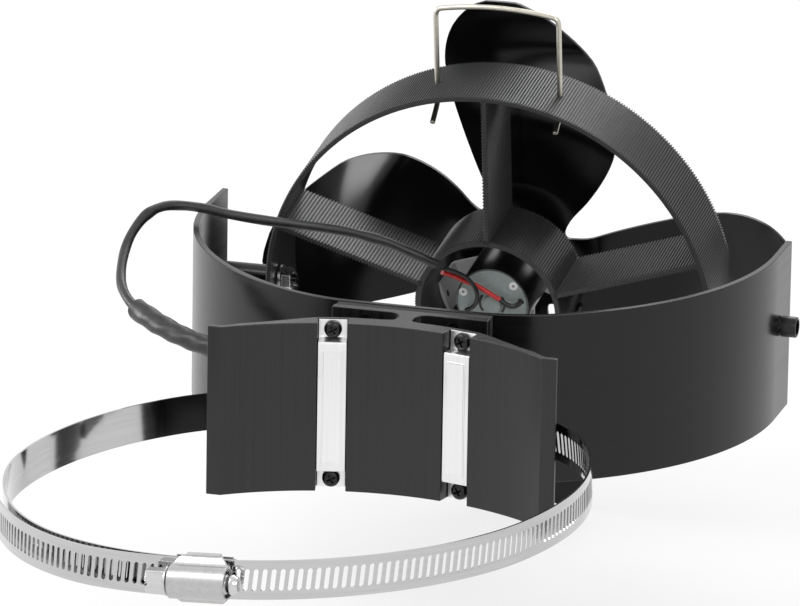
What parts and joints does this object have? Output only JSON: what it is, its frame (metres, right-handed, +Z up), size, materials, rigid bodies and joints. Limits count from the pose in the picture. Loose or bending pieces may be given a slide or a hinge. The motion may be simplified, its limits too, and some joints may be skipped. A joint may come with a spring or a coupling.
{
  "type": "flue pipe stove fan",
  "caption": "Self-powered fan for a flue pipe: curved hot saddle on magnets and a clamp band, cold shell, tilting ribbed ring with motor, propeller and wire handle.",
  "frame": {"origin": "middle of the saddle's curved face, where it touches the flue pipe, at mid-height", "axes": "+Z up along the flue pipe; -Y towards the pipe, +Y the way the air leaves; +X to the right seen from the pipe"},
  "size_m": [0.2122, 0.3605, 0.1844],
  "materials": {
    "saddle_black": "black anodised extrusion, satin",
    "ring_black": "black anodised, finely ribbed",
    "shell_black": "black anodised, fine vertical brush lines",
    "blade_black": "black anodised sheet, semi-gloss",
    "bright_steel": "plated sheet, satin",
    "stainless": "stainless, polished",
    "dark_steel": "black oxide",
    "zinc": "zinc plated",
    "magnet_grey": "nickel plated",
    "ceramic": "ceramic plates",
    "graphite": "graphite sheet",
    "insulator": "heat-resistant board",
    "motor_black": "gloss black",
    "plate_grey": "moulded, pale grey-green",
    "brass": "turned",
    "cable_black": "sleeve, dull",
    "wire_red": "insulation",
    "wire_black": "insulation"
  },
  "bodies": {
    "base": {"hot_saddle": "saddle_black", "magnet_left": "magnet_grey", "magnet_right": "magnet_grey", "magnet_cover_left": "bright_steel", "magnet_cover_right": "bright_steel", "cover_screw_left_top": "dark_steel", "cover_screw_left_bottom": "dark_steel", "cover_screw_right_top": "dark_steel", "cover_screw_right_bottom": "dark_steel", "thermal_pad_hot": "graphite", "thermal_pad_cold": "graphite", "thermoelectric_module": "ceramic", "insulation_frame": "insulator", "cold_shell": "shell_black", "stack_screw_left_top": "dark_steel", "stack_screw_left_bottom": "dark_steel", "stack_screw_right_top": "dark_steel", "stack_screw_right_bottom": "dark_steel", "pivot_spacer_left": "dark_steel", "pivot_spacer_right": "dark_steel", "pivot_washer_left": "zinc", "pivot_washer_right": "zinc", "pivot_nut_left": "zinc", "pivot_bolt_left": "dark_steel", "pivot_bolt_right": "zinc", "module_wire_red": "wire_red", "module_wire_black": "wire_black", "lead_heat_shrink": "cable_black", "lead_sleeve": "cable_black"},
    "ring": {"ring_heat_sink": "ring_black", "motor_can": "motor_black", "motor_end_plate": "plate_grey", "motor_bracket": "zinc", "motor_screw_left": "zinc", "motor_screw_right": "zinc", "bracket_screw_left": "dark_steel", "bracket_screw_bottom": "dark_steel", "bracket_screw_right": "dark_steel", "motor_wire_red": "wire_red", "motor_wire_black": "wire_black"},
    "rotor": {"motor_shaft": "zinc", "propeller": "blade_black", "propeller_boss": "brass", "boss_set_screw": "dark_steel"},
    "bail": {"bail_handle": "stainless"},
    "knob": {"lock_knob": "dark_steel"},
    "clamp": {"clamp_band": "stainless", "clamp_housing": "stainless"},
    "worm": {"worm_screw": "stainless"}
  },
  "joints": [
    {"name": "ring_tilt", "type": "hinge", "parent": "base", "child": "ring", "pos_m": [0, 0.1205, 0.0025], "axis": [1, 0, 0], "range_deg": [-23.2, 6.7]},
    {"name": "fan_spin", "type": "hinge", "parent": "ring", "child": "rotor", "pos_m": [0, 0.1105, 0.0013], "axis": [0, 0.9896, 0.1437], "continuous": true},
    {"name": "bail_slide", "type": "slide", "parent": "ring", "child": "bail", "axis": [0, -0.1437, 0.9896], "range_m": [-0.021, 0.002]},
    {"name": "knob_turn", "type": "hinge", "parent": "base", "child": "knob", "pos_m": [0.0979, 0.1205, 0.0025], "axis": [1, 0, 0], "range_deg": [0, 180]},
    {"name": "clamp_turn", "type": "hinge", "parent": "base", "child": "clamp", "pos_m": [-0.01, -0.078, -0.00263], "axis": [-0.0471, 0.0157, 0.9988], "range_deg": [-8, 8]},
    {"name": "worm_spin", "type": "hinge", "parent": "clamp", "child": "worm", "pos_m": [-0.01, -0.17759, -0.00107], "axis": [-0.9989, -0.0007, -0.0471], "continuous": true}
  ]
}
